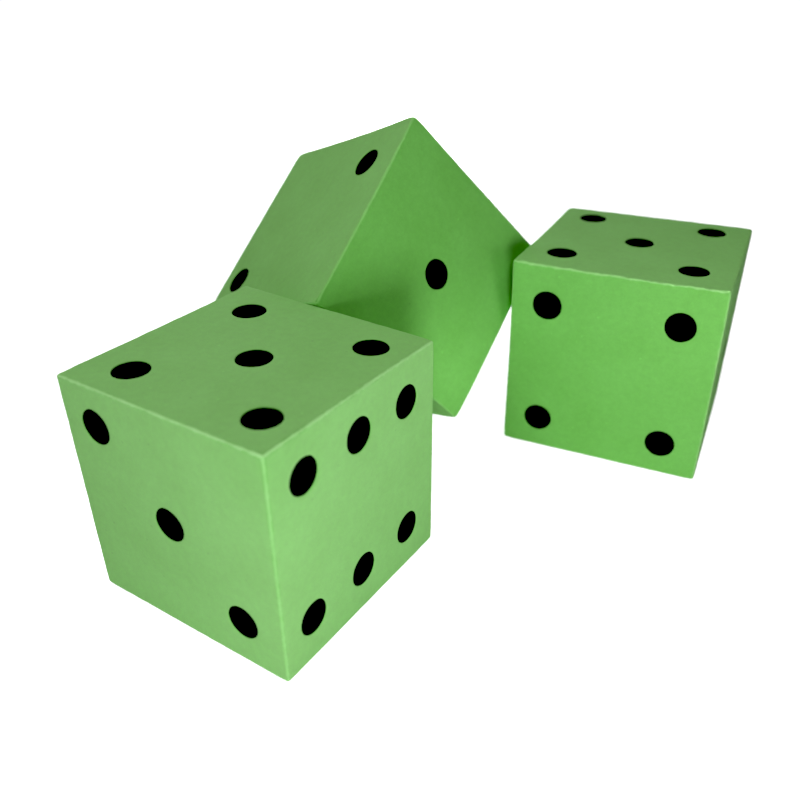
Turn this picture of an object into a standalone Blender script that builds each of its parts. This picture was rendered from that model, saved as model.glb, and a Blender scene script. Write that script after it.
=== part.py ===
"""Giant yard dice: a set of three foam dice, resting as they land after a throw.

Each die is one block of green foam with a round pocket for every spot, and black foam spots that
sit in the pockets. The left die stands flat. The leaning die lies with one face against the left
die's back top edge, one corner on the ground and one corner against the right die.

Metres, +Z up. The origin is on the ground under the middle of the left die, whose three faces
the front (-Y), whose six faces right (+X) and whose five is on top.
"""

import math

import bmesh
import bpy
from mathutils import Euler, Matrix, Vector

# One die
EDGE = 0.150
EDGE_ROUND = 0.0015
EDGE_ROUND_STEPS = 3
HALF = EDGE / 2
CORNER_BALL = HALF - EDGE_ROUND  # from a die's middle to a rounded corner's centre, along each axis

# Spots, and the pockets that hold them
PIP_RADIUS = 0.0107
PIP_OFFSET = 0.0472  # from the middle of a pattern to an outer spot, along each side
PIP_THICKNESS = 0.0055
PIP_RECESS = 0.0002
PIP_SIDES = 20
POCKET_DEPTH = 0.006
FIT_GAP = 0.0003
CUT_PAST_FACE = 0.003

# The hidden tie that joins the three spots of a row on the six, and its tunnel in the block
TIE_WIDTH = 0.003
TIE_THICKNESS = 0.0015
TIE_DEPTH = 0.0045  # from the spots' faces down to the middle of the tie

# How the dice rest against each other
LEAN_TILT = math.radians(38.3)  # the leaning die's three-to-four axis above the ground
LEAN_ROLL = math.radians(156.6)  # the leaning die's turn about that axis
LEAN_CORNER_X = -0.0109  # the corner that hangs over the left die's top
RIGHT_TURN = math.radians(188.3)  # its four faces the front and its six the leaning die
RIGHT_CONTACT = 0.0574  # from the right die's front edge back to the corner that touches it
CONTACT_GAP = 0.0004

# Each face's turn from the top face, in degrees about X and then about Z
FACE_TURNS = {
    "one": (90, -90),
    "two": (180, 90),
    "three": (90, 0),
    "four": (90, 180),
    "five": (0, 0),
    "six": (90, 90),
}
DIAGONAL = [(-1, 1), (1, -1)]
CORNERS = [(-1, -1), (-1, 1), (1, -1), (1, 1)]
MIDDLE = [(0, 0)]
ROWS = [(0, -1), (0, 1)]  # the middle of each row of three on the six
ROW_SPOTS = (-1, 0, 1)
SPOTS = {
    "one": MIDDLE,
    "two": DIAGONAL,
    "three": DIAGONAL + MIDDLE,
    "four": CORNERS,
    "five": CORNERS + MIDDLE,
}
# The spots are set by hand, so some patterns sit off the middle of their face, across and up
PATTERN_SHIFTS = {
    ("left_die", "three"): (-0.0018, 0.0025),
    ("left_die", "five"): (0.0032, -0.0020),
    ("left_die", "six"): (-0.0026, 0.0015),
    ("leaning_die", "one"): (0.0010, -0.0017),
    ("leaning_die", "two"): (-0.0043, 0.0052),
    ("right_die", "four"): (-0.0008, -0.0025),
    ("right_die", "five"): (0.0010, -0.0035),
}

FOAM_GREEN = (0.17, 0.47, 0.11, 1.0)
SPOT_BLACK = (0.006, 0.006, 0.006, 1.0)


def clear_scene():
    for obj in list(bpy.data.objects):
        bpy.data.objects.remove(obj, do_unlink=True)


def new_collection(name):
    collection = bpy.data.collections.new(name)
    bpy.context.scene.collection.children.link(collection)
    return collection


def new_material(name, colour, roughness):
    material = bpy.data.materials.new(name)
    material.use_nodes = True
    material.diffuse_color = colour
    shader = material.node_tree.nodes["Principled BSDF"]
    shader.inputs["Base Color"].default_value = colour
    shader.inputs["Roughness"].default_value = roughness
    shader.inputs["Metallic"].default_value = 0.0
    return material


def face_matrix(face):
    """Takes the top face of a die to another of its faces."""
    about_x, about_z = FACE_TURNS[face]
    return Euler((math.radians(about_x), 0, math.radians(about_z))).to_matrix().to_4x4()


def on_face(die_name, face, place):
    """A spot's place on a die's face: its middle, with local +Z pointing out of the block."""
    across, up = place
    shift_across, shift_up = PATTERN_SHIFTS.get((die_name, face), (0, 0))
    middle = (across * PIP_OFFSET + shift_across, up * PIP_OFFSET + shift_up, HALF)
    return face_matrix(face) @ Matrix.Translation(middle)


def add_cylinder(mesh, radius, top, bottom, matrix):
    """Adds a closed cylinder between two heights of the matrix's Z axis."""
    bmesh.ops.create_cone(
        mesh,
        cap_ends=True,
        segments=PIP_SIDES,
        radius1=radius,
        radius2=radius,
        depth=top - bottom,
        matrix=matrix @ Matrix.Translation((0, 0, (top + bottom) / 2)),
    )


def add_bar(mesh, width, thickness, matrix):
    """Adds the bar that runs from the first to the last spot of a row."""
    size = Matrix.Diagonal((2 * PIP_OFFSET, width, thickness, 1))
    middle = Matrix.Translation((0, 0, -PIP_RECESS - TIE_DEPTH))
    bmesh.ops.create_cube(mesh, size=1, matrix=matrix @ middle @ size)


def finish_mesh(name, mesh, material):
    data = bpy.data.meshes.new(name)
    mesh.to_mesh(data)
    mesh.free()
    data.shade_smooth()
    data.set_sharp_from_angle(angle=math.radians(30))
    data.materials.append(material)
    return data


def block_mesh(material):
    mesh = bmesh.new()
    bmesh.ops.create_cube(mesh, size=EDGE)
    return finish_mesh("foam_block", mesh, material)


def pip_mesh(material):
    """One spot, with its origin in the plane of the block's face."""
    mesh = bmesh.new()
    add_cylinder(mesh, PIP_RADIUS, -PIP_RECESS, -PIP_RECESS - PIP_THICKNESS, Matrix())
    return finish_mesh("pip", mesh, material)


def pip_row_mesh(material):
    """Three spots side by side, not yet joined."""
    mesh = bmesh.new()
    for place in ROW_SPOTS:
        spot = Matrix.Translation((place * PIP_OFFSET, 0, 0))
        add_cylinder(mesh, PIP_RADIUS, -PIP_RECESS, -PIP_RECESS - PIP_THICKNESS, spot)
    return finish_mesh("pip_row", mesh, material)


def tie_mesh(material):
    mesh = bmesh.new()
    add_bar(mesh, TIE_WIDTH, TIE_THICKNESS, Matrix())
    return finish_mesh("tie", mesh, material)


def pockets_mesh(die_name, material):
    """A cutter for the pockets of all 21 spots of a die."""
    places = [(face, place) for face in SPOTS for place in SPOTS[face]]
    places += [("six", (across, up)) for _, up in ROWS for across in ROW_SPOTS]
    mesh = bmesh.new()
    for face, place in places:
        pocket = on_face(die_name, face, place)
        add_cylinder(mesh, PIP_RADIUS + FIT_GAP, CUT_PAST_FACE, -POCKET_DEPTH, pocket)
    return finish_mesh("pockets", mesh, material)


def tunnels_mesh(die_name, material):
    """A cutter for the two tunnels under a die's six, which hold the ties."""
    mesh = bmesh.new()
    for row in ROWS:
        tunnel = on_face(die_name, "six", row)
        add_bar(mesh, TIE_WIDTH + 2 * FIT_GAP, TIE_THICKNESS + 2 * FIT_GAP, tunnel)
    return finish_mesh("tunnels", mesh, material)


def add_object(name, data, parent, matrix, collection):
    obj = bpy.data.objects.new(name, data)
    collection.objects.link(obj)
    obj.parent = parent
    obj.location = matrix.to_translation()
    obj.rotation_euler = matrix.to_euler()
    return obj


def add_cutter(name, data, parent, matrix, collection):
    cutter = add_object(name, data, parent, matrix, collection)
    cutter.hide_render = True
    cutter.display_type = "WIRE"
    return cutter


def add_boolean(obj, name, operation, cutter):
    modifier = obj.modifiers.new(name, "BOOLEAN")
    modifier.operation = operation
    modifier.solver = "EXACT"
    modifier.object = cutter


def add_block(die, meshes, parts, cutters):
    block = add_object(f"{die.name}_foam_block", meshes["block"], die, Matrix(), parts)
    rounding = block.modifiers.new("worn edges", "BEVEL")
    rounding.width = EDGE_ROUND
    rounding.segments = EDGE_ROUND_STEPS
    for kind, cutter_mesh in (("pockets", pockets_mesh), ("tunnels", tunnels_mesh)):
        data = cutter_mesh(die.name, meshes["block"].materials[0])
        cutter = add_cutter(f"{die.name}_{kind}", data, die, Matrix(), cutters)
        add_boolean(block, kind, "DIFFERENCE", cutter)


def add_pips(die, meshes, parts, cutters):
    for face, places in SPOTS.items():
        for number, place in enumerate(places, 1):
            name = f"{die.name}_{face}_pip_{number}" if len(places) > 1 else f"{die.name}_{face}_pip"
            add_object(name, meshes["pip"], die, on_face(die.name, face, place), parts)
    for number, row in enumerate(ROWS, 1):
        name = f"{die.name}_six_pip_row_{number}"
        place = on_face(die.name, "six", row)
        pips = add_object(name, meshes["pip_row"], die, place, parts)
        tie = add_cutter(f"{name}_tie", meshes["tie"], die, place, cutters)
        add_boolean(pips, "tie", "UNION", tie)


def add_die(name, parent, matrix, meshes, parts, cutters):
    """Adds one die around an empty at its middle."""
    die = add_object(name, None, parent, matrix, parts)
    add_block(die, meshes, parts, cutters)
    add_pips(die, meshes, parts, cutters)


def leaning_die_matrix():
    """Where the leaning die rests: on the left die's back top edge and on one corner."""
    turn = Matrix.Rotation(LEAN_TILT, 4, "X") @ Matrix.Rotation(LEAN_ROLL, 4, "Y")
    ground_corner = turn @ Vector((CORNER_BALL, -CORNER_BALL, CORNER_BALL))
    overhanging_corner = turn @ Vector((-HALF, -HALF, -HALF))
    x = LEAN_CORNER_X - overhanging_corner.x
    z = EDGE_ROUND - ground_corner.z
    edge_y = HALF - EDGE_ROUND
    edge_z = EDGE - EDGE_ROUND
    reach = HALF + CONTACT_GAP + EDGE_ROUND
    y = edge_y + (reach - (z - edge_z) * math.sin(LEAN_TILT)) / math.cos(LEAN_TILT)
    return Matrix.Translation((x, y, z)) @ turn


def right_die_matrix(leaning):
    """Where the right die stands: its six touches a corner of the leaning die."""
    turn = Matrix.Rotation(RIGHT_TURN, 4, "Z")
    corner = leaning @ Vector((-CORNER_BALL, CORNER_BALL, CORNER_BALL))
    to_corner = turn @ Vector((HALF + CONTACT_GAP + EDGE_ROUND, HALF - RIGHT_CONTACT, 0))
    middle = corner - to_corner
    middle.z = HALF
    return Matrix.Translation(middle) @ turn


def build():
    clear_scene()
    parts = new_collection("giant yard dice")
    cutters = new_collection("cutters")
    green = new_material("green foam", FOAM_GREEN, 0.8)
    black = new_material("black foam", SPOT_BLACK, 0.9)
    meshes = {
        "block": block_mesh(green),
        "pip": pip_mesh(black),
        "pip_row": pip_row_mesh(black),
        "tie": tie_mesh(black),
    }
    leaning = leaning_die_matrix()
    right = right_die_matrix(leaning)
    # The right die rolls over its bottom right edge, below its one.
    edge_from_middle = Matrix.Translation((-HALF, 0, -HALF))
    rolling_edge = add_object("right_die_rolling_edge", None, None, right @ edge_from_middle, parts)
    add_die("left_die", None, Matrix.Translation((0, 0, HALF)), meshes, parts, cutters)
    add_die("leaning_die", None, leaning, meshes, parts, cutters)
    add_die("right_die", rolling_edge, edge_from_middle.inverted(), meshes, parts, cutters)


build()
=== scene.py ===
"""The looks of the giant yard dice: worn foam blocks and inlaid foam spots around the CAD frame."""

import math

import bpy
from mathutils import Matrix, Vector, noise


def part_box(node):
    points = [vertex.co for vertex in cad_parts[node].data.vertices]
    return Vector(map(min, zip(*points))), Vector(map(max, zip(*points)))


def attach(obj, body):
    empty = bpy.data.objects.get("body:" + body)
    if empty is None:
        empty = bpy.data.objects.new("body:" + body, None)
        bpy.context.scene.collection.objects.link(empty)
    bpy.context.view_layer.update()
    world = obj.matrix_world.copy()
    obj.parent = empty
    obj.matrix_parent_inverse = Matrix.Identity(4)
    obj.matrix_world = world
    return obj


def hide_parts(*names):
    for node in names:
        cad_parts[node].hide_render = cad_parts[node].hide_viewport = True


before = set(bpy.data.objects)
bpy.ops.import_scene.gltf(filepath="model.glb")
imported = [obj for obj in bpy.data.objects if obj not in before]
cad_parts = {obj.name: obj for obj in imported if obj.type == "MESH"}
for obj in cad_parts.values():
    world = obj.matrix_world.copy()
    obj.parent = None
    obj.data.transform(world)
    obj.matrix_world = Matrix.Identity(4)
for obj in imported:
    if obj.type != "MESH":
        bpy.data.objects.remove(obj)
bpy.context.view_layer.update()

MM = 0.001


# ---------------------------------------------------------------- what the CAD frame says


def node_middle(node):
    low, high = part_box(node)
    return (low + high) / 2


def die_pose(die):
    """A die's middle and axes, from the corner spots of its five, which is on the die's +Z side."""
    corner = node_middle(f"{die}_five_pip_1")
    x_axis = (node_middle(f"{die}_five_pip_3") - corner).normalized()
    y_axis = (node_middle(f"{die}_five_pip_2") - corner).normalized()
    turn = Matrix((x_axis, y_axis, x_axis.cross(y_axis))).transposed().to_4x4()
    return Matrix.Translation(node_middle(f"{die}_foam_block")) @ turn


block_low, block_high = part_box("left_die_foam_block")
spot_low, spot_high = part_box("left_die_five_pip_5")
HALF = (block_high.x - block_low.x) / 2
SPOT_RADIUS = (spot_high.x - spot_low.x) / 2
SPOT_THICKNESS = spot_high.z - spot_low.z
SPOT_OFFSET = (node_middle("left_die_five_pip_3") - node_middle("left_die_five_pip_1")).x / 2

# Wear of the foam. A wave has a height and, as its size, the length over which it changes.
EDGE_ROUND = 1.5 * MM
EDGE_ROUND_CHANGE = 0.3
EDGE_ROUND_SIZE = 50 * MM
FACE_SWELL = 0.16 * MM
FACE_SWELL_SIZE = 45 * MM
EDGE_BAND = 9 * MM  # how far the waves of an edge reach into its faces
EDGE_WAVE = 0.14 * MM
EDGE_WAVE_SIZE = 7 * MM
RAGGED_BAND = 5 * MM
RAGGED_WAVE = 1.1 * MM
RAGGED_WAVE_SIZE = 4 * MM
RAGGED_SINK = 0.2  # how much lower the ragged edge lies, as a share of its wave
CORNER_FALL = 3  # how fast a corner's move fades away from it
# The pale colour near the edges is partly wear, partly a painted highlight.
WEAR_AND_HIGHLIGHT_REACH = 4 * MM
USUAL_WEAR_AND_HIGHLIGHT = 0.4

# Spots in their pockets
POCKET_GAP = 0.12 * MM
POCKET_DEPTH = SPOT_THICKNESS + 0.5 * MM
RIM = 0.35 * MM
RIM_STEPS = 3
SPOT_RECESS = 0.05 * MM
SPOT_CROWN = 0.12 * MM
SPOT_RINGS = (0.25, 0.5, 0.7, 0.85)  # rings of a spot's face, as shares of its flat radius
OUTLINE_CHANGE = 0.02
OUTLINE_WAVES = 1.2
OUTLINE_SPREAD = 300  # makes each spot's outline a different one

# Spots that sit off their pattern, in mm along their die's axes
ASKEW_SPOTS = {
    "left_die_five_pip_3_spot": (1.2, 0, 0),
    "left_die_six_pip_row_2_spot_1": (0, 1.4, 0),
    "left_die_six_pip_row_2_spot_2": (0, 0.7, -0.5),
    "left_die_six_pip_row_2_spot_3": (0, 0, -1.9),
}

# The grid of a block's face: three cells across with a margin round them, and rings in the cells
# with a pocket
CELL_STEPS = 24
MARGIN_STEPS = 8
MARGIN_CLOSENESS = 1.5  # above 1, the margin's lines lie closer towards the edge
RING_STEPS = 6
WELD = 0.001 * MM  # points closer than this are one


# ---------------------------------------------------------------- foam surfaces


def smooth_step(value):
    value = min(1.0, max(0.0, value))
    return value * value * (3 - 2 * value)


def face_axes(axis, side):
    """Directions across, up and out of a face, right-handed."""
    unit = [Vector([float(i == j) for j in range(3)]) for i in range(3)]
    across, up = unit[(axis + 1) % 3], unit[(axis + 2) % 3]
    if side < 0:
        across, up = up, across
    return across, up, unit[axis] * side


class Foam:
    """How one die's foam is worn. Places are points on the sharp cube, in the die's own axes.

    corner_wear is how much rounder the corners are than the edges, in mm. The next argument holds
    how pale some edges are, partly as wear and partly as a painted highlight on edges that catch
    the light, and off_square how far some corners lie from the true cube's, in mm.
    One edge may be ragged. An edge or a corner is named by the sides of the cube it is on."""

    def __init__(self, seed, corner_wear, wear_and_highlight, off_square, ragged_edge=(0, 0, 0)):
        self.seed = Vector((seed, seed * 0.7, -seed * 1.3))
        self.corner_wear = corner_wear * MM
        self.wear_and_highlight = wear_and_highlight
        self.off_square = off_square
        self.ragged_edge = Vector(ragged_edge)

    def noise(self, place, size):
        return noise.noise(place / size + self.seed)

    def worn(self, place):
        """Where the place lies once the block is cut and worn."""
        sizes = sorted(abs(c) for c in place)
        near_edge = smooth_step((sizes[1] - HALF + EDGE_BAND) / EDGE_BAND)
        near_corner = smooth_step((sizes[0] - HALF + EDGE_BAND) / EDGE_BAND)
        radius = EDGE_ROUND * (1 + EDGE_ROUND_CHANGE * self.noise(place, EDGE_ROUND_SIZE))
        radius += self.corner_wear * near_corner
        inside = HALF - radius
        inner = Vector([max(-inside, min(inside, c)) for c in place])
        out = (place - inner).normalized()
        swell = FACE_SWELL * self.noise(place, FACE_SWELL_SIZE)
        swell += near_edge * EDGE_WAVE * self.noise(place, EDGE_WAVE_SIZE)
        point = inner + out * (radius + swell)
        ragged = smooth_step((place.dot(self.ragged_edge) - 2 * HALF) / RAGGED_BAND + 1)
        point.z += ragged * RAGGED_WAVE * (self.noise(place, RAGGED_WAVE_SIZE) - RAGGED_SINK)
        for corner, error in self.off_square.items():
            share = math.prod((1 + side * c / HALF) / 2 for side, c in zip(corner, place))
            point += Vector(error) * MM * share**CORNER_FALL
        return point

    def edge_wear_and_highlight(self, place):
        """How near the edge the place is, 1 on it, and how pale that edge is made: partly wear,
        partly a painted highlight.
        """
        sizes = sorted(abs(c) for c in place)
        near = max(0.0, 1 - (HALF - sizes[1]) / WEAR_AND_HIGHLIGHT_REACH)
        edge = tuple(0 if abs(c) == sizes[0] else round(math.copysign(1, c)) for c in place)
        return near, self.wear_and_highlight.get(edge, USUAL_WEAR_AND_HIGHLIGHT)

    def outline(self, middle, angle):
        """A spot's outline at an angle, as a share of its radius."""
        around = Vector((math.cos(angle), math.sin(angle), 0)) * OUTLINE_WAVES
        return 1 + OUTLINE_CHANGE * noise.noise(around + middle * OUTLINE_SPREAD + self.seed)


class Surface:
    """Points and faces on one block. Points that coincide are made one."""

    def __init__(self, foam):
        self.foam = foam
        self.points, self.edge_wear_and_highlight, self.faces, self.known = [], [], [], {}

    def point(self, place, out, depth=0.0):
        key = tuple(round(c / WELD) for c in (*place, depth))
        if key not in self.known:
            self.known[key] = len(self.points)
            self.points.append(self.foam.worn(place) - out * depth)
            self.edge_wear_and_highlight.append(self.foam.edge_wear_and_highlight(place))
        return self.known[key]

    def join(self, outer, inner):
        """Joins two closed loops of equal length."""
        count = len(outer)
        for k in range(count):
            after = (k + 1) % count
            self.faces.append((outer[k], outer[after], inner[after], inner[k]))

    def close(self, loop, centre):
        """Closes a loop with triangles to its centre."""
        for k, point in enumerate(loop):
            self.faces.append((point, loop[(k + 1) % len(loop)], centre))

    def mesh(self, name):
        data = bpy.data.meshes.new(name)
        data.from_pydata([tuple(p) for p in self.points], [], self.faces)
        for attribute, values in zip(("near edge", "wear and highlight"), zip(*self.edge_wear_and_highlight)):
            data.attributes.new(attribute, "FLOAT", "POINT").data.foreach_set("value", values)
        data.shade_smooth()
        return data


def grid_lines():
    """Where the grid has its lines across a face: evenly in the cells, closer towards the edges."""
    cells = 1.5 * SPOT_OFFSET
    shares = [(1 - k / MARGIN_STEPS) ** MARGIN_CLOSENESS for k in range(1, MARGIN_STEPS + 1)]
    margin = [HALF - (HALF - cells) * share for share in shares]
    count = 3 * CELL_STEPS
    middle = [cells * (2 * k / count - 1) for k in range(count + 1)]
    return [-x for x in reversed(margin)] + middle + margin


def cell_of(step):
    """Which of the cells -1, 0 and 1 a grid step is in, or None in the margin."""
    step -= MARGIN_STEPS
    return step // CELL_STEPS - 1 if 0 <= step < 3 * CELL_STEPS else None


def circle_angle(k):
    """The angle of point k on a circle, which starts at the cell's lower left corner."""
    return math.radians(-135 + 90 * k / CELL_STEPS)


def cell_border(lines, cell):
    """The grid points round a cell, as distances across and up, from its lower left corner."""
    left, low = (MARGIN_STEPS + (c + 1) * CELL_STEPS for c in cell)
    right, high = left + CELL_STEPS, low + CELL_STEPS
    steps = range(CELL_STEPS)
    border = [(left + k, low) for k in steps] + [(right, low + k) for k in steps]
    border += [(right - k, high) for k in steps] + [(left, high - k) for k in steps]
    return [(lines[a], lines[b]) for a, b in border]


def on_outline(foam, axes, middle, k, radius):
    """Point k on the slightly uneven circle of this radius round a spot's middle."""
    across, up, _ = axes
    angle = circle_angle(k)
    reach = radius * foam.outline(middle, angle)
    return middle + across * (reach * math.cos(angle)) + up * (reach * math.sin(angle))


def spot_loop(surface, axes, middle, radius, depth):
    """A circle of points round a spot's middle, at a depth under the face."""
    places = [on_outline(surface.foam, axes, middle, k, radius) for k in range(4 * CELL_STEPS)]
    return [surface.point(place, axes[2], depth) for place in places]


def rim_profile(radius, depth, side):
    """(radius, depth) down a rounded rim: side 1 leads into a pocket, side -1 is a spot's own."""
    turns = [math.radians(90 * k / RIM_STEPS) for k in range(RIM_STEPS + 1)]
    return [
        (radius + side * RIM * (1 - math.sin(t)), depth + RIM * (1 - math.cos(t))) for t in turns
    ]


def add_pocket(surface, axes, lines, cell, middle):
    """A cell of a face with a round pocket in it."""
    across, up, out = axes
    radius = SPOT_RADIUS + POCKET_GAP
    face_middle = out * HALF
    border = [face_middle + across * a + up * b for a, b in cell_border(lines, cell)]
    loop = [surface.point(place, out) for place in border]
    for ring in range(1, RING_STEPS + 1):
        inner = []
        for k, place in enumerate(border):
            on_circle = on_outline(surface.foam, axes, middle, k, radius + RIM)
            inner.append(surface.point(place.lerp(on_circle, ring / RING_STEPS), out))
        surface.join(loop, inner)
        loop = inner
    for at, depth in rim_profile(radius, 0, 1)[1:] + [(radius, POCKET_DEPTH)]:
        inner = spot_loop(surface, axes, middle, at, depth)
        surface.join(loop, inner)
        loop = inner
    surface.close(loop, surface.point(middle, out, POCKET_DEPTH))


def add_face(surface, axes, cells):
    """A face of a block, with a pocket in each of the cells: {cell: middle of its spot}."""
    across, up, out = axes
    lines = grid_lines()
    face_middle = out * HALF
    grid = [[surface.point(face_middle + across * a + up * b, out) for a in lines] for b in lines]
    for row in range(len(lines) - 1):
        for column in range(len(lines) - 1):
            if (cell_of(column), cell_of(row)) in cells:
                continue
            low_left, low_right = grid[row][column : column + 2]
            high_left, high_right = grid[row + 1][column : column + 2]
            surface.faces.append((low_left, low_right, high_right, high_left))
    for cell, middle in cells.items():
        add_pocket(surface, axes, lines, cell, middle)


def spot_mesh(name, foam, axes, middle):
    """One foam spot: a disc with a softened rim and a face that isn't quite flat."""
    surface = Surface(foam)
    out = axes[2]
    rim = rim_profile(SPOT_RADIUS, SPOT_RECESS, -1)
    flat = rim[0][0]
    profile = [(flat * s, SPOT_RECESS - SPOT_CROWN * (1 - s * s)) for s in SPOT_RINGS]
    profile += rim + [(SPOT_RADIUS, SPOT_RECESS + SPOT_THICKNESS)]
    loops = [spot_loop(surface, axes, middle, at, depth) for at, depth in profile]
    for inner, outer in zip(loops, loops[1:]):
        surface.join(outer, inner)
    surface.close(loops[0], surface.point(middle, out, SPOT_RECESS - SPOT_CROWN))
    surface.close(loops[-1][::-1], surface.point(middle, out, SPOT_RECESS + SPOT_THICKNESS))
    return surface.mesh(name)


# ---------------------------------------------------------------- materials


# Colours, in linear light
DARK_GREEN = (0.1815, 0.51, 0.1063, 1)
LIGHT_GREEN = (0.2, 0.55, 0.1226, 1)
# A painted sheen: pale colour added to the foam where it is seen at a grazing angle
PAINTED_SHEEN = (0.106, 0.103, 0.087, 1)
# The pale green of the edges: partly wear, partly a painted highlight on edges that catch light
WORN_AND_HIGHLIT_GREEN = (0.425, 0.80, 0.312, 1)
DARK_BLACK = (0.01, 0.01, 0.01, 1)
LIGHT_BLACK = (0.02, 0.02, 0.02, 1)

# Sizes of what shows on the foam
MOTTLE_SIZE = 30 * MM
WEAR_AND_HIGHLIGHT_PATCH_SIZE = 9 * MM
PATCH_SIZE = 5 * MM
WOBBLE_SIZE = 4 * MM
FLECK_SIZE = 1.4 * MM
CELL_SIZE = 0.9 * MM
NICK_SPACING = 11 * MM
BUMP_HEIGHT = 0.12 * MM

# Changes in brightness
FLECK_CHANGE = 0.035
PATCH_CHANGE = 0.035
PIT_DARKEST, PIT_BRIGHTEST = 0.965, 1.015
NICK_CHANGE = 0.12
NICK_INNER, NICK_OUTER = 0.05, 0.09  # where a nick ends, as a share of the nicks' spacing

# How far the foam is turned from the viewer where the painted sheen starts and where it is full
PAINTED_SHEEN_START, PAINTED_SHEEN_FULL = 0.25, 0.5
# How near the edge the pale colour (partly wear, partly painted highlight) starts and where it is
# full, and how much that wobbles
WEAR_AND_HIGHLIGHT_START, WEAR_AND_HIGHLIGHT_FULL = 0.55, 0.88
WEAR_AND_HIGHLIGHT_WOBBLE = 0.12
WEAR_AND_HIGHLIGHT_LEAST = 0.7  # what patches leave of it, at the least

GREEN_ROUGHNESS = (0.75, 0.9)
GREEN_GLOSS = 0.3
BLACK_ROUGHNESS = 0.9
BLACK_GLOSS = 0.1
FLECK_BUMP = 1.5  # how high the flecks are, next to the cells
GREEN_BUMP = 0.25
BLACK_BUMP = 0.5

# Nearly all of the noise's values lie between these.
NOISE_LOW, NOISE_HIGH = 0.3, 0.7
# The sockets that a mix node uses for colours
MIX_SHARE, MIX_FIRST, MIX_SECOND, MIX_RESULT = 0, 6, 7, 2


def add_node(tree, kind, settings=(), **inputs):
    node = tree.nodes.new(kind)
    for key, value in dict(settings).items():
        setattr(node, key, value)
    for name, value in inputs.items():
        socket = node.inputs[name.replace("_", " ")]
        if isinstance(value, bpy.types.NodeSocket):
            tree.links.new(value, socket)
        else:
            socket.default_value = value
    return node


def mix_colours(tree, share, first, second, blend="MIX"):
    node = add_node(tree, "ShaderNodeMix", {"data_type": "RGBA", "blend_type": blend})
    for index, value in ((MIX_SHARE, share), (MIX_FIRST, first), (MIX_SECOND, second)):
        if isinstance(value, bpy.types.NodeSocket):
            tree.links.new(value, node.inputs[index])
        else:
            node.inputs[index].default_value = value
    return node.outputs[MIX_RESULT]


def scale_value(tree, value, low, high, to_low, to_high, curve="LINEAR"):
    node = add_node(
        tree,
        "ShaderNodeMapRange",
        {"interpolation_type": curve},
        Value=value,
        From_Min=low,
        From_Max=high,
        To_Min=to_low,
        To_Max=to_high,
    )
    return node.outputs["Result"]


def math_node(tree, operation, first, second):
    node = add_node(tree, "ShaderNodeMath", {"operation": operation})
    for index, value in enumerate((first, second)):
        if isinstance(value, bpy.types.NodeSocket):
            tree.links.new(value, node.inputs[index])
        else:
            node.inputs[index].default_value = value
    return node.outputs[0]


def spread(tree, value, to_low, to_high):
    """Noise made to run from to_low to to_high."""
    return scale_value(tree, value, NOISE_LOW, NOISE_HIGH, to_low, to_high)


def grain(tree, place, seed, size, detail=2.0):
    """Soft noise whose features are about this size, in metres."""
    node = add_node(
        tree,
        "ShaderNodeTexNoise",
        {"noise_dimensions": "4D"},
        Vector=place,
        W=seed,
        Scale=1 / size,
        Detail=detail,
    )
    return node.outputs["Fac"]


def foam_cells(tree, place, size):
    return add_node(tree, "ShaderNodeTexVoronoi", Vector=place, Scale=1 / size)


def mesh_value(tree, name):
    """A value that the mesh stores at its points."""
    return add_node(tree, "ShaderNodeAttribute", {"attribute_name": name}).outputs["Fac"]


def add_bump(tree, shader, height, strength):
    node = add_node(tree, "ShaderNodeBump", Height=height, Strength=strength, Distance=BUMP_HEIGHT)
    tree.links.new(node.outputs["Normal"], shader.inputs["Normal"])


def new_material(name):
    material = bpy.data.materials.new(name)
    material.use_nodes = True
    tree = material.node_tree
    shader = tree.nodes["Principled BSDF"]
    place = add_node(tree, "ShaderNodeTexCoord").outputs["Object"]
    return material, tree, shader, place


def foam_shade(tree, place, seed, flecks, cells):
    """How bright the foam is from place to place: patches, flecks, cells and a few nicks."""
    shade = spread(tree, flecks, 1 - FLECK_CHANGE, 1 + FLECK_CHANGE)
    patches = grain(tree, place, seed + 2, PATCH_SIZE)
    patches = spread(tree, patches, 1 - PATCH_CHANGE, 1 + PATCH_CHANGE)
    pits = scale_value(tree, cells, 0.0, 0.6, PIT_DARKEST, PIT_BRIGHTEST)
    nick = foam_cells(tree, place, NICK_SPACING)
    inside_nick = scale_value(tree, nick.outputs["Distance"], NICK_INNER, NICK_OUTER, 1.0, 0.0)
    nick_tone = spread(tree, nick.outputs["Color"], -NICK_CHANGE, NICK_CHANGE)
    nicks = math_node(tree, "ADD", 1.0, math_node(tree, "MULTIPLY", inside_nick, nick_tone))
    for factor in (patches, pits, nicks):
        shade = math_node(tree, "MULTIPLY", shade, factor)
    return add_node(tree, "ShaderNodeCombineColor", Red=shade, Green=shade, Blue=shade).outputs[0]


def wear_and_highlight_share(tree, place, seed):
    """How much of the foam is made pale near its edges, partly as wear and partly as a painted
    highlight, from the values that the mesh stores.
    """
    wobble = spread(tree, grain(tree, place, seed + 9, WOBBLE_SIZE, 3), -WEAR_AND_HIGHLIGHT_WOBBLE, WEAR_AND_HIGHLIGHT_WOBBLE)
    near = math_node(tree, "ADD", mesh_value(tree, "near edge"), wobble)
    worn = scale_value(tree, near, WEAR_AND_HIGHLIGHT_START, WEAR_AND_HIGHLIGHT_FULL, 0.0, 1.0, "SMOOTHSTEP")
    patchy = grain(tree, place, seed + 7, WEAR_AND_HIGHLIGHT_PATCH_SIZE)
    patchy = scale_value(tree, patchy, 0.35, 0.65, WEAR_AND_HIGHLIGHT_LEAST, 1.0)
    wear_and_highlight = math_node(tree, "MULTIPLY", worn, mesh_value(tree, "wear and highlight"))
    return math_node(tree, "MULTIPLY", wear_and_highlight, patchy)


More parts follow.
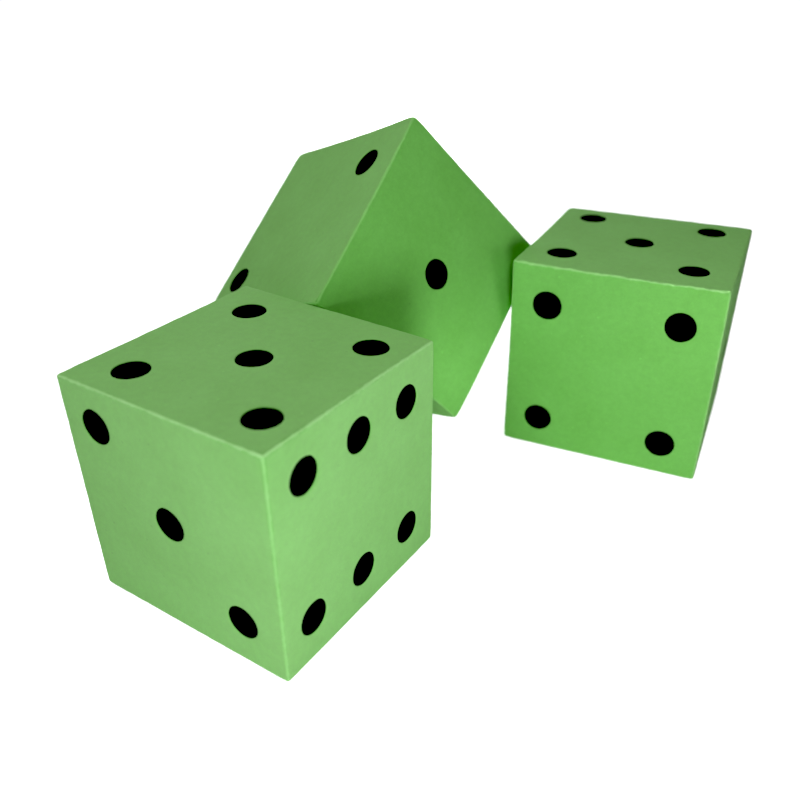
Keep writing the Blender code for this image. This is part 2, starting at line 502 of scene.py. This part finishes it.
def green_foam(name, seed):
    """Fine closed-cell foam: soft mottling, tiny cells, a few nicks, paler edges (partly wear,
    partly painted highlight) and a painted sheen at grazing angles.
    """
    material, tree, shader, place = new_material(name)
    flecks = grain(tree, place, seed + 5, FLECK_SIZE, 3)
    cells = foam_cells(tree, place, CELL_SIZE).outputs["Distance"]
    tone = spread(tree, grain(tree, place, seed, MOTTLE_SIZE, 3), 0.0, 1.0)
    colour = mix_colours(tree, tone, DARK_GREEN, LIGHT_GREEN)
    shade = foam_shade(tree, place, seed, flecks, cells)
    colour = mix_colours(tree, 1.0, colour, shade, "MULTIPLY")
    # Painted sheen: seen at a grazing angle, the foam is given a paler colour,
    # in place of the sheen of its fuzzy cut cells.
    facing = add_node(tree, "ShaderNodeLayerWeight", Blend=0.5).outputs["Facing"]
    painted_sheen_share = scale_value(tree, facing, PAINTED_SHEEN_START, PAINTED_SHEEN_FULL, 0.0, 1.0, "SMOOTHSTEP")
    colour = mix_colours(tree, painted_sheen_share, colour, PAINTED_SHEEN, "ADD")
    # Paler near the edges: partly wear, partly a painted highlight.
    colour = mix_colours(tree, wear_and_highlight_share(tree, place, seed), colour, WORN_AND_HIGHLIT_GREEN)
    tree.links.new(colour, shader.inputs["Base Color"])
    tree.links.new(spread(tree, flecks, *GREEN_ROUGHNESS), shader.inputs["Roughness"])
    shader.inputs["Specular IOR Level"].default_value = GREEN_GLOSS
    height = math_node(tree, "ADD", math_node(tree, "MULTIPLY", flecks, FLECK_BUMP), cells)
    add_bump(tree, shader, height, GREEN_BUMP)
    return material


def black_foam(name):
    """The spots' dull black foam."""
    material, tree, shader, place = new_material(name)
    flecks = grain(tree, place, 3.0, FLECK_SIZE, 4)
    tone = scale_value(tree, flecks, 0.35, 0.75, 0.0, 1.0)
    colour = mix_colours(tree, tone, DARK_BLACK, LIGHT_BLACK)
    tree.links.new(colour, shader.inputs["Base Color"])
    shader.inputs["Roughness"].default_value = BLACK_ROUGHNESS
    shader.inputs["Specular IOR Level"].default_value = BLACK_GLOSS
    cells = foam_cells(tree, place, CELL_SIZE).outputs["Distance"]
    add_bump(tree, shader, math_node(tree, "ADD", flecks, cells), BLACK_BUMP)
    return material


# ---------------------------------------------------------------- the dice


def add_piece(name, data, material, pose, die, node):
    """A piece that rides on its die and stands for a CAD node."""
    data.materials.append(material)
    piece = bpy.data.objects.new(name, data)
    bpy.context.scene.collection.objects.link(piece)
    piece.matrix_world = pose
    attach(piece, die)
    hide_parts(node)


def spots_of(die, pose):
    """A die's spots, read from its CAD nodes: {(axis, side): {cell: (middle, CAD node, name)}}."""
    into_die = pose.inverted()
    found = {}
    for node in sorted(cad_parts):
        if not node.startswith(die) or "_pip" not in node:
            continue
        middle = into_die @ node_middle(node)
        axis = max(range(3), key=lambda i: abs(middle[i]))
        side = 1 if middle[axis] > 0 else -1
        across, up, out = face_axes(axis, side)
        # A row of three runs along the die's Y.
        row = (-1, 0, 1) if "_row_" in node else (0,)
        for number, along in enumerate(row, 1):
            place = middle + Vector((0, 1, 0)) * (along * SPOT_OFFSET)
            cell = tuple(round(place.dot(way) / SPOT_OFFSET) for way in (across, up))
            on_face = place - out * place.dot(out) + out * HALF
            name = f"{node}_spot_{number}" if len(row) > 1 else f"{node}_spot"
            on_face += Vector(ASKEW_SPOTS.get(name, (0, 0, 0))) * MM
            found.setdefault((axis, side), {})[cell] = (on_face, node, name)
    return found


def add_die(die, foam, green, black):
    pose = die_pose(die)
    spots = spots_of(die, pose)
    block = Surface(foam)
    for (axis, side), cells in spots.items():
        axes = face_axes(axis, side)
        add_face(block, axes, {cell: spot[0] for cell, spot in cells.items()})
        for middle, node, name in cells.values():
            data = spot_mesh(name, foam, axes, middle)
            add_piece(name, data, black, pose, die, node)
    name = f"{die}_block"
    add_piece(name, block.mesh(name), green, pose, die, f"{die}_foam_block")


# ---------------------------------------------------------------- stage


FLOOR_SIZE = 12
FLOOR_GREY = 0.75
FLOOR_ROUGHNESS = 0.9
FLOOR_GAP = 0.4 * MM  # keeps the floor clear of the foam's small swells
WORLD_GLOW = 0.05
AMONG_DICE = (0.05, 0.15, 0.08)
COOL = (1.01, 1.0, 1.08)
SPOTLIGHT_RADIUS = 0.03
# Light as faint as this shows as black: the photo's shadows were deepened, as product photos' are.
BLACK_LEVEL = 0.025

# The photo's viewpoint, worked out from the dice's corners and spots
CAMERA_PLACE = (0.2971, -0.2936, 0.3530)
CAMERA_FORWARD = (-0.4754, 0.7143, -0.5136)
CAMERA_RIGHT = (0.8349, 0.5504, -0.0073)
CAMERA_LENS = 36.18
CAMERA_SHIFT = (-0.0028, 0.0218)
APERTURE = 5.6


def white_for_camera(tree, glow):
    """A strength that gives off this glow, but looks white where the camera sees it."""
    seen = add_node(tree, "ShaderNodeLightPath").outputs["Is Camera Ray"]
    return scale_value(tree, seen, 0, 1, glow, 1.0)


def add_floor():
    """A pale floor, lit up white for the camera only."""
    bpy.ops.mesh.primitive_plane_add(size=FLOOR_SIZE, location=(0, 0, -FLOOR_GAP))
    floor = bpy.context.object
    floor.name = "floor"
    material = bpy.data.materials.new("pale floor")
    material.use_nodes = True
    tree = material.node_tree
    shader = tree.nodes["Principled BSDF"]
    shader.inputs["Base Color"].default_value = (FLOOR_GREY, FLOOR_GREY, FLOOR_GREY, 1)
    shader.inputs["Roughness"].default_value = FLOOR_ROUGHNESS
    shader.inputs["Specular IOR Level"].default_value = 0.0
    shader.inputs["Emission Color"].default_value = (1, 1, 1, 1)
    tree.links.new(white_for_camera(tree, 0.0), shader.inputs["Emission Strength"])
    floor.data.materials.append(material)


def add_world():
    """A faint white glow all round, which the camera sees as white."""
    world = bpy.data.worlds.new("white studio")
    bpy.context.scene.world = world
    world.use_nodes = True
    tree = world.node_tree
    background = tree.nodes["Background"]
    background.inputs["Color"].default_value = (1, 1, 1, 1)
    tree.links.new(white_for_camera(tree, WORLD_GLOW), background.inputs["Strength"])


def add_light(name, position, size, power, target=AMONG_DICE, tint=(1, 1, 1)):
    """A round soft light, in metres and watts."""
    data = bpy.data.lights.new(name, "AREA")
    data.shape = "DISK"
    data.size = size
    data.color = tint
    place_light(data, position, power, target)


def add_spot(name, position, cone, power, target):
    """A spotlight with a soft edge. The cone is in degrees."""
    data = bpy.data.lights.new(name, "SPOT")
    data.spot_size = math.radians(cone)
    data.spot_blend = 1
    data.shadow_soft_size = SPOTLIGHT_RADIUS
    place_light(data, position, power, target)


def place_light(data, position, power, target):
    """Puts a light in the scene, aimed at a point. The camera doesn't see it."""
    data.energy = power
    light = bpy.data.objects.new(data.name, data)
    bpy.context.scene.collection.objects.link(light)
    light.location = position
    light.visible_camera = False
    aim = Vector(target) - Vector(position)
    light.rotation_euler = aim.to_track_quat("-Z", "Y").to_euler()


def add_lights():
    add_light("left light", (-0.6, -0.5, 1.39), 0.7, 8.58)
    add_light("back light", (0.05, 1.07, 1.39), 0.7, 2.69)
    add_light("low back light", (-1.0, 1.2, 0.12), 0.5, 18)
    add_light("front light", (0.45, -0.4, 0.12), 0.22, 0.993, tint=COOL)
    add_light("low front light", (0.55, -0.55, 0.1), 0.22, 1.89, tint=COOL)
    add_light("low right light", (0.55, 0, 0.12), 0.22, 0.217)
    add_light("right light", (0.3, 0.1, 0.5), 0.22, 0.217)
    add_light("top light", (0.1, -0.1, 0.4), 0.22, 0.0765)
    add_light("light between the dice", (0.25, 0.15, 0.15), 0.08, 0.03, (-0.02, 0.17, 0.08))
    add_spot("spot between the dice", (0.35, 0.05, 0.12), 18, 0.9, (0.045, 0.16, 0.08))


def add_camera():
    data = bpy.data.cameras.new("camera")
    data.lens = CAMERA_LENS
    data.sensor_width = 36
    data.shift_x, data.shift_y = CAMERA_SHIFT
    data.clip_start = 0.01
    data.dof.use_dof = True
    data.dof.focus_object = bpy.data.objects["left_die_block"]
    data.dof.aperture_fstop = APERTURE
    camera = bpy.data.objects.new("camera", data)
    bpy.context.scene.collection.objects.link(camera)
    forward = Vector(CAMERA_FORWARD).normalized()
    up = Vector(CAMERA_RIGHT).cross(forward).normalized()
    turn = Matrix((forward.cross(up), up, -forward)).transposed().to_4x4()
    camera.matrix_world = Matrix.Translation(CAMERA_PLACE) @ turn
    bpy.context.scene.camera = camera


def set_tones():
    """How light becomes the picture's tones."""
    view = bpy.context.scene.view_settings
    view.view_transform = "Standard"
    view.use_curve_mapping = True
    view.curve_mapping.black_level = (BLACK_LEVEL, BLACK_LEVEL, BLACK_LEVEL)
    view.curve_mapping.update()


# ---------------------------------------------------------------- building it all


# The pale edges in each die's table are partly wear, partly a painted highlight on edges that catch
# the light.
FOAMS = {
    "left_die": Foam(
        seed=1.0,
        corner_wear=0.3,
        wear_and_highlight={(0, -1, 1): 1.0, (1, 0, 1): 1.0, (1, -1, 0): 0.5},
        off_square={(1, 1, 1): (0, 0, -1.5), (-1, 1, 1): (0, 0.5, 1.2)},
    ),
    "leaning_die": Foam(
        seed=12.0,
        corner_wear=1.4,
        wear_and_highlight={(-1, 0, -1): 0.25, (-1, -1, 0): 0.1, (0, -1, 1): 0.0, (-1, 0, 1): 0.0},
        off_square={(-1, 1, -1): (0, 1.5, -2.5), (-1, -1, 1): (1.5, -2, -1)},
    ),
    "right_die": Foam(
        seed=23.0,
        corner_wear=0.9,
        wear_and_highlight={(0, 1, 1): 0.7},
        off_square={(1, 1, 1): (1.8, 0, 1.3), (-1, 1, 1): (1.3, 0, 1.2)},
        ragged_edge=(0, 1, 1),
    ),
}
black = black_foam("black foam")
for number, (die, foam) in enumerate(FOAMS.items()):
    add_die(die, foam, green_foam(f"green foam of {die}", 10.0 * number), black)

add_floor()
add_world()
add_lights()
add_camera()
set_tones()
